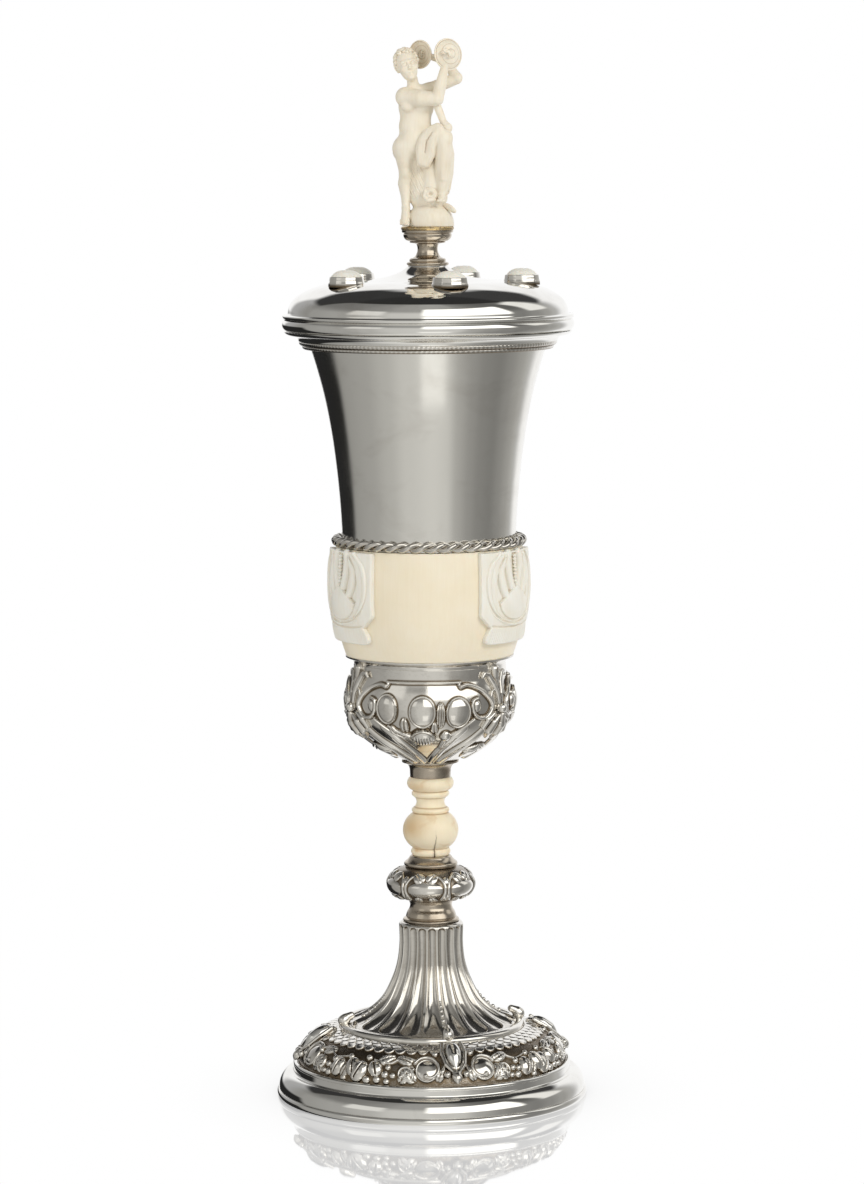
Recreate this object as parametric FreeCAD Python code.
"""Ciborium: a covered silver cup with an ivory band and stem, held together by a central tie rod.

The frame has its origin at the centre of the foot's underside, +Z up the axis and -Y towards the front.
All sizes are millimetres. Turned pieces are drawn as an outline in the (r, z) half plane and revolved.
The body stacks up on the tie rod: foot, trumpet, knop, baluster, calyx, ivory band, beaker. The cover
lifts off straight up, and carries five cabochons and a carved finial on its own small screw.
"""

import FreeCAD
import Part
import math
import os

Vector = FreeCAD.Vector

# Levels of the joints between stacked pieces, from the floor up.
Z_BASE_WIRE = 2.5
Z_FOOT_RIM = 12.0
Z_DOME = 25.9
Z_TRUMPET = 66.4
Z_NECK = 74.6
Z_KNOP = 87.6
Z_CAP = 91.8
Z_BALUSTER = 121.9
Z_COLLAR = 128.3
Z_CALYX = 165.8
Z_SEAT = 168.9
Z_BAND = 210.2
Z_MILLED = 284.6
Z_LIP_RING = 287.6
Z_LIP = 291.2
Z_COVER_FLANGE = 296.1
Z_COVER_SPRING = 297.3
Z_COVER_TOP = 315.7
Z_FINIAL_KNOP = 320.0
Z_FINIAL_CUP = 328.8
Z_PLINTH = 330.2
Z_SUMMIT = 400.0

# Driving radii.
FOOT_R = 59.2
BEAKER_WAIST_R = 32.9
BEAKER_SPIGOT_R = 29.6
COVER_R = 54.8
PLINTH_R = 9.7
FINIAL_HOLE = 7.0
FINIAL_WASHER_THICK = 0.8

# Sheet and fits.
SHEET = 1.1
FIT = 0.1
ROD_R = 2.0
ROD_BORE_R = ROD_R + 0.3
SCREW_R = 1.2
SCREW_BORE_R = SCREW_R + 0.1
RELIEF = 1.2

# Repeated ornament, with each set's first angle measured from the front towards +X.
FLUTES = 20
FLUTE_DEPTH = 0.9
BOSSES, BOSS_TURN = 4, 10.5
CABOCHONS, CABOCHON_TURN = 5, 13.5
CARTOUCHES, CARTOUCHE_TURN = 3, -5.0
PLAQUES, PLAQUE_TURN = 3, 58.0
ROPE_TURNS = 21


def at(r, z):
    """A point of an outline, in the XZ half plane."""
    return Vector(r, 0, z)


def spline(points):
    """A smooth curve through (r, z) points."""
    curve = Part.BSplineCurve()
    curve.interpolate([at(*p) for p in points])
    return curve


def parallel(curve, distance):
    """The curve beside a spline, moved to the left of its direction by distance."""
    moved = []
    for knot in curve.getKnots():
        point = curve.value(knot)
        along = curve.tangent(knot)[0]
        moved.append(point + Vector(-along.z, 0, along.x) * distance)
    beside = Part.BSplineCurve()
    beside.interpolate(moved)
    return beside


def outline(*steps):
    """A closed wire. A step is a point (r, z), an ("arc", mid, end) or a curve that the last step leads to."""
    edges = []
    here = at(*steps[0])
    first = here

    def line_to(point):
        if here.distanceToPoint(point) > 1e-6:
            edges.append(Part.LineSegment(here, point).toShape())

    for step in steps[1:]:
        if isinstance(step, Part.BSplineCurve):
            line_to(step.StartPoint)
            edges.append(step.toShape())
            here = step.EndPoint
        elif step[0] == "arc":
            end = at(*step[2])
            edges.append(Part.Arc(here, at(*step[1]), end).toShape())
            here = end
        else:
            point = at(*step)
            line_to(point)
            here = point
    line_to(first)
    return Part.Wire(edges)


def turned(*steps, angle=360.0):
    """The solid made by turning a closed outline about the axis."""
    return Part.Face(outline(*steps)).revolve(Vector(), Vector(0, 0, 1), angle)


def around(shape, count, first=0.0):
    """Copies of a shape that stands at the front, spaced evenly about the axis."""
    copies = []
    for i in range(count):
        copy = shape.copy()
        copy.rotate(Vector(), Vector(0, 0, 1), first + i * 360.0 / count)
        copies.append(copy)
    return copies


def front(shape):
    """Turns a shape drawn towards +X so that it stands at the front, towards -Y."""
    copy = shape.copy()
    copy.rotate(Vector(), Vector(0, 0, 1), -90)
    return copy


def ellipsoid(centre, radii, lean=0.0):
    """An ellipsoid with radii along X, Y and Z, leaned about X by lean degrees."""
    matrix = FreeCAD.Matrix()
    matrix.scale(Vector(*radii))
    ball = Part.makeSphere(1.0).transformGeometry(matrix)
    ball.rotate(Vector(), Vector(1, 0, 0), lean)
    ball.translate(Vector(*centre))
    return ball


def limb(start, end, start_r, end_r):
    """A round tapered limb with ball ends."""
    a, b = Vector(*start), Vector(*end)
    along = b - a
    cone = Part.makeCone(start_r, end_r, along.Length, a, along)
    return cone.fuse([Part.makeSphere(start_r, a), Part.makeSphere(end_r, b)])


def hex_nut(across_flats, height, bore_r, z):
    """A hexagonal nut standing on level z."""
    corner = across_flats / math.sqrt(3.0)
    points = []
    for i in range(7):
        turn = math.radians(60.0 * i)
        points.append(Vector(corner * math.cos(turn), corner * math.sin(turn), z))
    prism = Part.Face(Part.makePolygon(points)).extrude(Vector(0, 0, height))
    return prism.cut(Part.makeCylinder(bore_r, height, Vector(0, 0, z)))


# ---- foot ----

RING_R, RING_INNER_R = 35.3, 33.2


def foot_base_wire():
    inner = FOOT_R - 3.0
    return turned(
        (inner, 0),
        (FOOT_R - 0.6, 0),
        ("arc", (FOOT_R, Z_BASE_WIRE / 2), (FOOT_R - 0.6, Z_BASE_WIRE)),
        (inner, Z_BASE_WIRE),
    )


def foot_rim():
    step = 9.3
    return turned(
        (FOOT_R - 0.8, Z_BASE_WIRE),
        ("arc", (57.6, 6.6), (54.6, step)),
        (53.8, step),
        ("arc", (53.1, 9.6), (52.9, 10.3)),
        (52.9, Z_FOOT_RIM),
        (49.8, Z_FOOT_RIM),
        (49.8, 10.9),
        (51.6, 10.2),
        ("arc", (55.6, 6.9), (FOOT_R - 2.2, Z_BASE_WIRE)),
    )


def foot_wire():
    inner, outer = 51.1, 52.9
    return turned(
        (inner, Z_FOOT_RIM),
        (outer, Z_FOOT_RIM),
        ("arc", ((inner + outer) / 2, Z_FOOT_RIM + 1.3), (inner, Z_FOOT_RIM)),
    )


def dome_curve():
    return spline([(51.0, Z_FOOT_RIM), (50.2, 15.4), (47.6, 19.6), (42.6, 23.4), (RING_R, Z_DOME)])


def dome_filled():
    """Everything under the relief dome's outer face, for shaping what stands on it."""
    return turned((0, 0), (51.0, 0), dome_curve(), (0, Z_DOME))


def dome_sheet():
    """The plain raised sheet that the relief is chased into."""
    inside = parallel(dome_curve(), SHEET)
    return turned((51.0, Z_FOOT_RIM), dome_curve(), reverse_of(inside))


def foot_dome():
    """The chased dome: between the bosses, a row of round and long fruits stands out of the sheet."""
    inside = parallel(dome_curve(), SHEET)
    middle = BOSS_TURN + 180.0 / BOSSES
    row = {-30.0: 2.1, -21.0: 2.7, -12.0: 2.0, -3.0: 1.7, 6.0: 3.0, 18.0: 3.2, 29.0: 2.2}
    fruits = []
    for turn, half_width in row.items():
        fruit = ellipsoid((0, -48.2, 17.6), (half_width, 1.9, 2.6), 50.0)
        fruits += around(fruit, BOSSES, middle + turn)
    hollow = turned((0, 0), (inside.StartPoint.x, 0), inside, (0, inside.EndPoint.z))
    return dome_sheet().fuse([fruit.cut(hollow) for fruit in fruits]).cut(foot_rim())


def reverse_of(curve):
    """The same curve drawn the other way."""
    other = curve.copy()
    other.reverse()
    return other


BOSS_R, BOSS_Z, BOSS_LEAN = 43.8, 22.3, 36.0
BOSS_BEAD_R = 2.5


def on_dome(shape):
    """Leans a shape built upright at the origin onto the dome's slope, at the front."""
    copy = shape.copy()
    copy.rotate(Vector(), Vector(1, 0, 0), BOSS_LEAN)
    copy.translate(Vector(0, -BOSS_R, BOSS_Z))
    return copy


def boss_frames():
    """Four cast frames on the dome, each with a small drop below its oval."""
    plate = ellipsoid((0, 0, -0.6), (4.3, 7.0, 2.6))
    pocket = ellipsoid((0, 0, 0.6), (2.95, 5.75, 2.85))
    drop = ellipsoid((0, -7.6, -0.8), (2.4, 2.3, 1.9))
    frame = on_dome(plate.fuse(drop).cut(pocket))
    frame = frame.cut([dome_filled(), trumpet_ring(), Part.makeCylinder(RING_R + 0.3, 40.0)])
    return around(largest(frame), BOSSES, BOSS_TURN)


def boss_ovals():
    """Four polished ovals held in the frames."""
    oval = on_dome(ellipsoid((0, 0, 0.6), (2.9, 5.7, 2.8)))
    oval = oval.cut([dome_filled(), Part.makeCylinder(RING_R + 0.3, 40.0)])
    return around(largest(oval), BOSSES, BOSS_TURN)


def boss_beads():
    """Four beads on the ring at the trumpet's edge, one above each oval."""
    bead = Part.makeSphere(BOSS_BEAD_R, Vector(0, -33.4, 29.0))
    bead = bead.cut([trumpet_envelope(), trumpet_ring_envelope()])
    return around(largest(bead), BOSSES, BOSS_TURN)


def largest(shape):
    return max(shape.Solids, key=lambda solid: solid.Volume)


# ---- trumpet and stem ----


def trumpet_curve():
    return spline(
        [
            (12.3, 64.6),
            (12.2, 58.0),
            (13.1, 50.5),
            (15.3, 43.7),
            (19.3, 36.4),
            (25.6, 31.0),
            (RING_INNER_R, 27.6),
        ]
    )


def trumpet_envelope():
    """The trumpet's outer shape with nothing hollowed out."""
    foot_z = 27.0
    return turned(
        (0, foot_z),
        (0, Z_TRUMPET),
        (10.8, Z_TRUMPET),
        ("arc", (11.9, 65.8), (12.3, 64.6)),
        trumpet_curve(),
        (RING_INNER_R, foot_z),
    )


def flute_cutter():
    """One flute: a round bar, thicker towards the foot, laid along the trumpet's curve."""
    curve = trumpet_curve()
    first, last = 0.02, 0.93
    land_share = 0.92
    rounds = []
    for share in (first, 0.3, 0.55, 0.75, last):
        u = curve.FirstParameter + share * (curve.LastParameter - curve.FirstParameter)
        point = curve.value(u)
        along = curve.tangent(u)[0]
        outward = Vector(-along.z, 0, along.x)
        if outward.x < 0:
            outward = -outward
        half_width = math.pi * point.x / FLUTES * land_share
        radius = (half_width**2 + FLUTE_DEPTH**2) / (2 * FLUTE_DEPTH)
        centre = point + outward * (radius - FLUTE_DEPTH)
        rounds.append(Part.Wire(Part.Circle(centre, along, radius).toShape()))
    return Part.makeLoft(rounds, True, False)


def trumpet_wall():
    """The trumpet before its flutes are cut, open below and closed by a plate at the top."""
    inside = reverse_of(parallel(trumpet_curve(), -(SHEET + FLUTE_DEPTH * 0.6)))
    plate_z = Z_TRUMPET - 2 * SHEET
    return turned(
        (ROD_BORE_R, Z_TRUMPET),
        (10.8, Z_TRUMPET),
        ("arc", (11.9, 65.8), (12.3, 64.6)),
        trumpet_curve(),
        inside,
        (inside.EndPoint.x, plate_z),
        (ROD_BORE_R, plate_z),
    )


def foot_trumpet():
    return trumpet_wall().cut(around(front(flute_cutter()), FLUTES, BOSS_TURN + 180.0 / FLUTES))


def trumpet_ring_envelope():
    return turned((0, 24.9), (RING_R, 24.9), (RING_R, 26.7), ("arc", (34.7, 27.7), (33.6, 28.0)), (0, 28.0))


def trumpet_ring():
    """The wire that covers the seam between the trumpet and the dome, with a ledge under the trumpet."""
    ledge_r = RING_INNER_R - 1.8
    ring = turned(
        (ledge_r, 24.9), (RING_R, 24.9), (RING_R, 26.7), ("arc", (34.7, 27.7), (33.6, 28.0)), (ledge_r, 28.0)
    )
    return largest(ring.cut([trumpet_wall(), dome_sheet()]))


def stem_neck():
    return turned(
        (ROD_BORE_R, Z_TRUMPET),
        (10.3, Z_TRUMPET),
        ("arc", (10.7, 67.0), (10.2, 67.6)),
        (9.4, 67.9),
        spline([(9.6, 68.4), (9.1, 69.9), (8.2, 71.5), (8.0, 73.0), (8.7, Z_NECK)]),
        (ROD_BORE_R, Z_NECK),
    )


def knop_curve():
    lower = [(9.0, Z_NECK), (12.9, 76.1), (15.6, 78.4)]
    upper = [(16.5, 81.2), (15.1, 84.2), (12.3, 86.5), (9.2, Z_KNOP)]
    return spline(lower + upper)


def knop():
    wall = 1.3
    curve = knop_curve()
    upper = [(7.0, Z_KNOP - wall), (11.4, 85.2), (13.7, 83.4)]
    lower = [(15.0, 81.1), (14.2, 79.2), (7.0, Z_NECK + wall)]
    inside = spline(upper + lower)
    return turned(
        (ROD_BORE_R, Z_NECK),
        curve,
        (ROD_BORE_R, Z_KNOP),
        (ROD_BORE_R, Z_KNOP - wall),
        inside,
        (ROD_BORE_R, Z_NECK + wall),
    )


def knop_cap():
    return turned(
        (ROD_BORE_R, Z_KNOP),
        (9.6, Z_KNOP),
        ("arc", (10.2, 88.5), (9.6, 89.4)),
        ("arc", (8.6, 90.3), (7.9, 91.3)),
        (7.4, Z_CAP),
        (ROD_BORE_R, Z_CAP),
    )


def ivory_baluster():
    return turned(
        (ROD_BORE_R, Z_CAP),
        (6.8, Z_CAP),
        ("arc", (7.5, 93.1), (7.0, 94.4)),
        (6.9, 94.8),
        ("arc", (10.55, 101.6), (7.0, 107.9)),
        (6.6, 108.2),
        ("arc", (7.15, 109.2), (6.5, 110.1)),
        ("arc", (5.3, 112.2), (6.4, 114.3)),
        ("arc", (7.15, 115.4), (6.7, 116.4)),
        (6.9, 116.8),
        ("arc", (8.85, 119.8), (7.5, Z_BALUSTER)),
        (ROD_BORE_R, Z_BALUSTER),
    )


# ---- calyx and ivory band ----


def calyx_collar():
    return turned(
        (ROD_BORE_R, Z_BALUSTER),
        (7.7, Z_BALUSTER),
        (7.8, 124.6),
        ("arc", (8.7, 126.6), (10.8, 127.6)),
        (10.8, Z_COLLAR),
        (ROD_BORE_R, Z_COLLAR),
    )


def calyx_curve():
    return spline(
        [
            (10.2, Z_COLLAR),
            (14.5, 130.9),
            (20.2, 134.6),
            (26.3, 139.8),
            (30.0, 145.4),
            (31.3, 151.2),
            (30.7, 156.6),
            (29.2, 161.0),
            (28.8, Z_CALYX),
        ]
    )


def calyx_filled():
    """The calyx's outer shape with nothing hollowed out."""
    return turned((0, Z_COLLAR), calyx_curve(), (0, Z_CALYX))


def calyx():
    """A chased bowl: three cartouches, each with three pods and a ribbed fruit raised from the sheet."""
    inside = parallel(calyx_curve(), SHEET)
    floor = Z_COLLAR + 1.6
    raised = []
    for turn, half_width in ((-25.0, 2.9), (-1.0, 3.4), (24.0, 3.2)):
        pod = ellipsoid((0, -30.6, 150.0), (half_width, 2.0, 5.0), -4.0)
        raised += around(pod, CARTOUCHES, CARTOUCHE_TURN + turn)
    fruit = ellipsoid((0, -29.0, 142.3), (3.0, 3.6, 3.4))
    raised += around(fruit, CARTOUCHES, CARTOUCHE_TURN - 2.0)
    points = [inside.value(knot) for knot in inside.getKnots()]
    wall = [(point.x, point.z) for point in points if point.z > floor + 0.8]
    above = Z_CALYX + 5.0
    hollow = turned((0, floor), (10.2, floor), spline([(10.8, floor)] + wall), (wall[-1][0], above), (0, above))
    bore = Part.makeCylinder(ROD_BORE_R, 10.0, Vector(0, 0, Z_COLLAR - 1))
    return calyx_filled().fuse(raised).cut([hollow, bore])


def calyx_straps():
    """Three cast leaf straps from the calyx's lip down to a ball, between the cartouches."""
    ball_r, ball_z, strap_top = 1.9, 150.5, 164.9
    core_r = 25.0
    sweep = 9.0
    raised = parallel(calyx_curve(), -RELIEF)
    points = [raised.value(knot) for knot in raised.getKnots()]
    upper = [(point.x, point.z) for point in points if ball_z - 1.5 < point.z < Z_CALYX]
    face = spline([(upper[0][0], ball_z)] + upper[1:] + [(29.8, strap_top)])
    strap = turned((core_r, ball_z), face, (core_r, strap_top), angle=sweep)
    strap.rotate(Vector(), Vector(0, 0, 1), -90 - sweep / 2)
    ball = Part.makeSphere(ball_r, Vector(0, -32.7, ball_z))
    strap = strap.fuse(ball).cut(calyx_filled())
    return around(largest(strap), CARTOUCHES, CARTOUCHE_TURN + 60.0)


def seat_ring():
    return turned(
        (27.9, Z_CALYX), (28.8, Z_CALYX), ("arc", (29.6, 167.4), (31.9, 168.2)), (31.9, Z_SEAT), (27.9, Z_SEAT)
    )


def band_curve():
    return spline([(31.7, Z_SEAT), (33.3, 173.8), (34.9, 181.0), (35.7, 190.0), (35.8, 200.0), (35.3, Z_BAND)])


def ivory_band():
    return turned((BEAKER_SPIGOT_R + 0.2, Z_SEAT), band_curve(), (BEAKER_SPIGOT_R + 0.2, Z_BAND))


PLAQUE_THICK = 2.6
PLAQUE_FOOT_Z = 175.2


def plaque_outline():
    """The wire around one plaque: straight sides, a drawn-in waist and a foot with rounded ends."""
    half, waist, foot_half, lobe = 16.8, 12.0, 12.0, 1.9
    top, shoulder, pinch = Z_BAND - 0.4, 186.0, 181.2

    def p(x, z):
        return Vector(x, -60.0, z)

    edges = []
    left = [p(-waist, pinch), p(-half, shoulder), p(-half, top)]
    right = [p(half, top), p(half, shoulder), p(waist, pinch)]
    corners = left + right
    for start, end in zip(corners, corners[1:]):
        edges.append(Part.LineSegment(start, end).toShape())
    lobe_out = foot_half + lobe + 0.1
    for side in (1, -1):
        lobe_side = p(side * lobe_out, PLAQUE_FOOT_Z + lobe)
        edges.append(Part.Arc(p(side * waist, pinch), lobe_side, p(side * foot_half, PLAQUE_FOOT_Z)).toShape())
    edges.append(Part.LineSegment(p(foot_half, PLAQUE_FOOT_Z), p(-foot_half, PLAQUE_FOOT_Z)).toShape())
    return Part.Wire(Part.sortEdges(edges)[0])


def carved_plaques():
    """Three ivory plaques that hug the band, each with an oval medallion in low relief."""
    low, high = PLAQUE_FOOT_Z - 10.0, Z_BAND + 2.0
    core_r = 20.0
    prism = Part.Face(plaque_outline()).extrude(Vector(0, 40.0, 0))
    face = parallel(band_curve(), -PLAQUE_THICK)
    ring = turned((core_r, low), (face.StartPoint.x, low), face, (face.EndPoint.x, high), (core_r, high))
    curve = band_curve()
    band = turned((0, low), (curve.StartPoint.x, low), curve, (curve.EndPoint.x, high), (0, high))
    medallion = ellipsoid((0, -37.6, 189.8), (6.4, 1.5, 4.4))
    plaque = largest(prism.common(ring).fuse(medallion).cut(band))
    return around(plaque, PLAQUES, PLAQUE_TURN)


# ---- beaker ----

BEAKER_FLOOR = 170.2


def flare_curve():
    return spline(
        [
            (BEAKER_WAIST_R, 216.0),
            (33.5, 226.0),
            (34.6, 238.0),
            (36.4, 252.0),
            (39.0, 266.0),
            (42.3, 278.5),
            (46.4, Z_LIP),
        ]
    )


def beaker_filled():
    """The beaker's outer shape with nothing hollowed out."""
    return turned(
        (0, BEAKER_FLOOR),
        (20.0, BEAKER_FLOOR),
        ("arc", (26.2, 172.8), (28.8, 179.0)),
        (BEAKER_SPIGOT_R, Z_BAND),
        (BEAKER_WAIST_R, Z_BAND),
        (BEAKER_WAIST_R, 216.0),
        flare_curve(),
        (0, Z_LIP),
    )


def beaker():
    curve = flare_curve()
    inside = parallel(curve, SHEET)
    mouth = curve.EndPoint.x - SHEET
    hollow = turned(
        (0, BEAKER_FLOOR + SHEET),
        (20.0, BEAKER_FLOOR + SHEET),
        ("arc", (25.4, 173.6), (28.8 - SHEET, 179.0)),
        (BEAKER_SPIGOT_R - SHEET, Z_BAND),
        (BEAKER_WAIST_R - SHEET, 214.0),
        inside,
        (mouth, Z_LIP + 1),
        (0, Z_LIP + 1),
    )
    return beaker_filled().cut(hollow)


def rope_ring():
    """Two wires twisted together around the beaker's waist, the ends of each meeting in a hairline joint."""
    wire_r = 0.97
    gap = 0.03
    joint = 0.05
    reach = wire_r + gap
    ring_r = BEAKER_WAIST_R + 2 * reach + gap
    level = Z_BAND + 2 * reach + gap
    steps = ROPE_TURNS * 8
    points = []
    for i in range(steps + 1):
        turn = (2 * math.pi - joint / ring_r) * i / steps
        twist = ROPE_TURNS * turn
        r = ring_r + reach * math.cos(twist)
        points.append(Vector(r * math.cos(turn), r * math.sin(turn), level + reach * math.sin(twist)))
    path = Part.BSplineCurve()
    path.interpolate(points)
    along = path.tangent(path.FirstParameter)[0]
    section = Part.Wire(Part.Circle(points[0], along, wire_r).toShape())
    wire = Part.Wire(path.toShape()).makePipeShell([section], True, True)
    return around(wire, 1) + around(wire, 1, 180.0 / ROPE_TURNS)


def milled_band():
    ring = turned(
        (43.0, Z_MILLED),
        (46.2, Z_MILLED),
        ("arc", (47.3, 285.2), (47.1, 286.0)),
        ("arc", (48.5, 286.8), (48.3, Z_LIP_RING)),
        (43.0, Z_LIP_RING),
    )
    return ring.cut(beaker_filled())


def lip_ring():
    ring = turned(
        (44.0, Z_LIP_RING),
        (48.9, Z_LIP_RING),
        ("arc", (49.7, 289.0), (51.6, 289.8)),
        ("arc", (53.6, 290.2), (54.3, Z_LIP)),
        (44.0, Z_LIP),
    )
    return ring.cut(beaker_filled())


# ---- tie rod ----

ROD_BOTTOM, ROD_TOP = 56.0, 168.4
ROD_WASHER_THICK = 1.0


def rod_anchor():
    """A threaded boss soldered under the beaker's floor."""
    boss_r, plate_r = 6.0, 11.0
    low = BEAKER_FLOOR - 6.0
    return turned(
        (ROD_R, low),
        (boss_r, low),
        (boss_r, BEAKER_FLOOR - 2.0),
        (plate_r, BEAKER_FLOOR - 1.2),
        (plate_r, BEAKER_FLOOR),
        (ROD_R, BEAKER_FLOOR),
    )


def tie_rod():
    return Part.makeCylinder(ROD_R, ROD_TOP - ROD_BOTTOM, Vector(0, 0, ROD_BOTTOM))


def rod_washer():
    washer_r = 5.2
    high = Z_TRUMPET - 2 * SHEET
    low = high - ROD_WASHER_THICK
    return turned((ROD_BORE_R, low), (washer_r, low), (washer_r, high), (ROD_BORE_R, high))


def rod_nut():
    across_flats, height = 7.0, 3.2
    return hex_nut(across_flats, height, ROD_R, Z_TRUMPET - 2 * SHEET - ROD_WASHER_THICK - height)


# ---- cover ----


def cover_curve():
    return spline(
        [
            (7.6, 315.2),
            (10.4, 313.2),
            (15.6, 311.4),
            (24.0, 310.2),
            (34.0, 309.4),
            (41.0, 308.1),
            (46.6, 305.9),
            (50.6, 303.1),
            (52.4, 300.2),
            (52.9, Z_COVER_SPRING),
        ]
    )


def cover_filled():
    """The cover's outer shape with nothing hollowed out."""
    return turned((0, Z_COVER_TOP), (7.6, Z_COVER_TOP), cover_curve(), (0, Z_COVER_SPRING))


def cover_dome():
    curve = cover_curve()
    inside = parallel(curve, -SHEET)
    inside.reverse()
    return turned(
        (SCREW_BORE_R, Z_COVER_TOP),
        (7.6, Z_COVER_TOP),
        curve,
        (COVER_R, Z_COVER_SPRING),
        (COVER_R, Z_COVER_FLANGE),
        (inside.StartPoint.x, Z_COVER_FLANGE),
        inside,
        (SCREW_BORE_R, inside.EndPoint.z),
    )


def cover_rim_ring():
    return turned(
        (47.2, Z_LIP + FIT),
        (53.6, Z_LIP + FIT),
        ("arc", (55.0, (Z_LIP + Z_COVER_FLANGE) / 2), (53.6, Z_COVER_FLANGE)),
        (47.2, Z_COVER_FLANGE),
    )


def cover_bezel():
    """The flange that drops into the beaker's mouth and keeps the cover centred."""
    wall_r, wall, ring_inner_r = 42.2, 1.0, 47.2
    return turned(
        (wall_r - wall, Z_MILLED),
        (wall_r, Z_MILLED),
        (wall_r, Z_COVER_FLANGE - wall),
        (ring_inner_r, Z_COVER_FLANGE - wall),
        (ring_inner_r, Z_COVER_FLANGE),
        (wall_r - wall, Z_COVER_FLANGE),
    )


CABOCHON_RING_R, CABOCHON_R = 35.4, 5.9
SETTING_TOP, SETTING_FLOOR, CABOCHON_TOP = 312.4, 310.5, 314.9


def cabochon_settings():
    wall_thick, root_z = 0.65, 300.0
    root = Vector(0, -CABOCHON_RING_R, root_z)
    wall = Part.makeCylinder(CABOCHON_R + wall_thick, SETTING_TOP - root_z, root)
    pocket = Part.makeCylinder(CABOCHON_R, 10.0, Vector(0, -CABOCHON_RING_R, SETTING_FLOOR))
    return around(largest(wall.cut([pocket, cover_filled()])), CABOCHONS, CABOCHON_TURN)


def cabochons():
    r = CABOCHON_R - FIT / 2
    flat_r = 0.4
    stone = turned(
        (0, SETTING_FLOOR),
        (r, SETTING_FLOOR),
        (r, SETTING_TOP),
        ("arc", (r * 0.72, CABOCHON_TOP - 0.7), (flat_r, CABOCHON_TOP)),
        (0, CABOCHON_TOP),
    )
    stone.translate(Vector(0, -CABOCHON_RING_R, 0))
    return around(stone, CABOCHONS, CABOCHON_TURN)


# ---- finial ----


def finial_knop():
    return turned(
        (SCREW_BORE_R, Z_COVER_TOP),
        (7.4, Z_COVER_TOP),
        ("arc", (7.9, 316.2), (7.3, 316.8)),
        (6.7, 317.1),
        ("arc", (6.8, 317.8), (6.1, 318.3)),
        ("arc", (5.0, 318.8), (4.2, Z_FINIAL_KNOP)),
        (SCREW_BORE_R, Z_FINIAL_KNOP),
    )


def finial_cup():
    return turned(
        (SCREW_BORE_R, Z_FINIAL_KNOP),
        (4.2, Z_FINIAL_KNOP),
        ("arc", (3.8, 321.8), (4.2, 323.6)),
        (6.3, 324.1),
        ("arc", (6.75, 324.4), (6.4, 324.7)),
        ("arc", (8.5, 325.5), (9.1, 327.2)),
        (8.9, 327.6),
        (9.6, 328.0),
        (PLINTH_R, Z_FINIAL_CUP),
        (SCREW_BORE_R, Z_FINIAL_CUP),
    )


def gilt_ring():
    r = PLINTH_R + 0.25
    middle = (Z_FINIAL_CUP + Z_PLINTH) / 2
    return turned(
        (SCREW_BORE_R, Z_FINIAL_CUP),
        (r - 0.5, Z_FINIAL_CUP),
        ("arc", (r, middle), (r - 0.5, Z_PLINTH)),
        (SCREW_BORE_R, Z_PLINTH),
    )


def cymbal(centre, face, r, depth):
    """A thin bowl with a raised boss, its round side turned towards the direction given."""
    rim = 0.35
    bowl = turned(
        (0, depth * 0.8),
        spline([(0.02, depth * 0.8), (r * 0.5, depth * 0.66), (r * 0.78, depth * 0.3), (r - rim, 0)]),
        (r - 0.1, 0),
        (r, 0.15),
        spline([(r * 0.97, rim), (r * 0.82, depth * 0.42), (r * 0.55, depth * 0.8), (1.75, depth)]),
        ("arc", (1.2, depth + 0.55), (0.02, depth + 0.7)),
        (0, depth + 0.7),
    )
    bowl.Placement = FreeCAD.Placement(Vector(*centre), FreeCAD.Rotation(Vector(0, 0, 1), Vector(*face)))
    return bowl


def cymbal_front():
    return cymbal((7.8, -4.6, 394.0), (0.52, -0.85, 0.10), 6.0, 2.7)


def cymbal_rear():
    return cymbal((-2.6, 1.4, 394.2), (0.62, 0.78, 0.0), 5.4, 2.0)


def chain(joints):
    """Limbs end to end through joints, each (x, y, z, radius)."""
    return [limb(a[:3], b[:3], a[3], b[3]) for a, b in zip(joints, joints[1:])]


def plinth():
    """The low dome the figure stands on, as wide as its gilded ring."""
    high = 8.6
    dome = turned(
        (0, Z_PLINTH),
        (8.9, Z_PLINTH),
        ("arc", (8.6, Z_PLINTH + 4.0), (6.6, Z_PLINTH + high - 0.2)),
        (0, Z_PLINTH + high),
    )
    dome.translate(Vector(0.7, 0, 0))
    return dome


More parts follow.
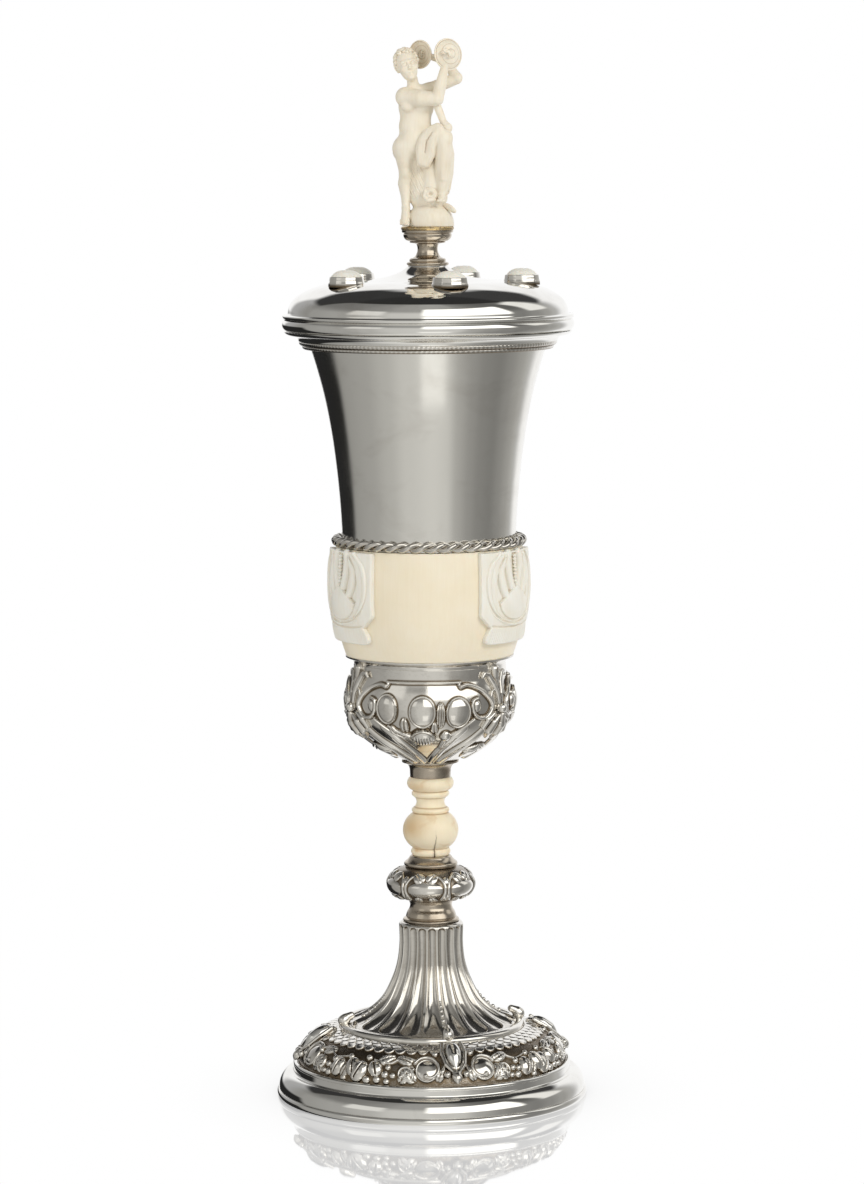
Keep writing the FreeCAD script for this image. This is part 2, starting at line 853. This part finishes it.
def finial_figure():
    """A dancer on a domed plinth, in plain limbs and ellipsoids."""
    pieces = [
        limb((0.6, 1.0, 338.0), (1.0, 1.5, 352.0), 4.6, 3.4),
        ellipsoid((-4.9, 0.6, 360.0), (6.6, 4.6, 5.2)),
        ellipsoid((-4.3, 0.4, 367.4), (5.5, 3.9, 6.4)),
        ellipsoid((-4.3, 0.4, 375.6), (6.3, 4.2, 6.0)),
        ellipsoid((-7.2, -2.0, 390.1), (4.4, 5.0, 6.0)),
    ]
    straight_leg = [(-8.6, 0.4, 359.0, 4.0), (-8.0, -0.2, 350.2, 2.4), (-8.1, -1.4, 337.2, 1.6)]
    straight_foot = [(-8.1, -1.4, 337.2, 1.6), (-8.6, -5.6, 332.0, 1.4)]
    raised_leg = [(-2.6, 0.4, 360.6, 4.3), (6.2, -5.2, 363.2, 3.3), (5.7, -4.4, 343.0, 1.8)]
    raised_foot = [(5.7, -4.4, 343.0, 1.8), (4.9, -7.4, 340.0, 1.0)]
    neck = [(-4.7, 0.9, 380.0, 2.3), (-5.6, -0.4, 386.0, 2.0)]
    near_arm = [(-8.4, -1.4, 378.4, 3.1), (4.0, -6.2, 377.4, 2.3), (6.9, -6.0, 390.6, 1.3)]
    far_arm = [(0.9, 1.9, 381.0, 2.7), (11.2, 0.9, 385.3, 2.0), (5.6, 3.4, 392.0, 1.3), (0.4, 4.2, 393.7, 1.2)]
    cloth_tail = [(3.6, -3.4, 375.6, 1.6), (7.5, -5.0, 367.2, 1.4)]
    for joints in (straight_leg, straight_foot, raised_leg, raised_foot, neck, near_arm, far_arm, cloth_tail):
        pieces += chain(joints)
    figure = plinth().fuse(pieces).removeSplitter()
    hole = Part.makeCylinder(SCREW_R, FINIAL_HOLE, Vector(0, 0, Z_PLINTH))
    return largest(figure.cut([hole, cymbal_front(), cymbal_rear()]))


def cover_underside():
    """The level of the cover's inner face beside the finial's screw."""
    return parallel(cover_curve(), -SHEET).StartPoint.z


def finial_screw():
    low, high = 308.0, Z_PLINTH + FINIAL_HOLE - 0.5
    return Part.makeCylinder(SCREW_R, high - low, Vector(0, 0, low))


def finial_washer():
    washer_r = 4.2
    high = cover_underside()
    low = high - FINIAL_WASHER_THICK
    return turned((SCREW_BORE_R, low), (washer_r, low), (washer_r, high), (SCREW_BORE_R, high))


def finial_nut():
    across_flats, height = 5.0, 2.4
    return hex_nut(across_flats, height, SCREW_R, cover_underside() - FINIAL_WASHER_THICK - height)


FOOT_AND_STEM = [
    foot_base_wire,
    foot_rim,
    foot_wire,
    foot_dome,
    boss_frames,
    boss_ovals,
    boss_beads,
    foot_trumpet,
    trumpet_ring,
    stem_neck,
    knop,
    knop_cap,
    ivory_baluster,
]
CUP = [
    calyx_collar,
    calyx,
    calyx_straps,
    seat_ring,
    ivory_band,
    carved_plaques,
    beaker,
    rope_ring,
    milled_band,
    lip_ring,
    rod_anchor,
    tie_rod,
    rod_washer,
    rod_nut,
]
COVER = [
    cover_dome,
    cover_rim_ring,
    cover_bezel,
    cabochon_settings,
    cabochons,
    finial_knop,
    finial_cup,
    gilt_ring,
    finial_figure,
    cymbal_front,
    cymbal_rear,
    finial_screw,
    finial_washer,
    finial_nut,
]


def main():
    os.makedirs("parts", exist_ok=True)
    for part in FOOT_AND_STEM + CUP + COVER:
        shape = part()
        if isinstance(shape, list):
            shape = Part.makeCompound(shape)
        shape.exportStep(f"parts/{part.__name__}.step")
        state = "valid" if shape.isValid() else "NOT VALID"
        print(part.__name__, len(shape.Solids), "solid(s)", round(shape.Volume, 1), "mm3", state)


main()
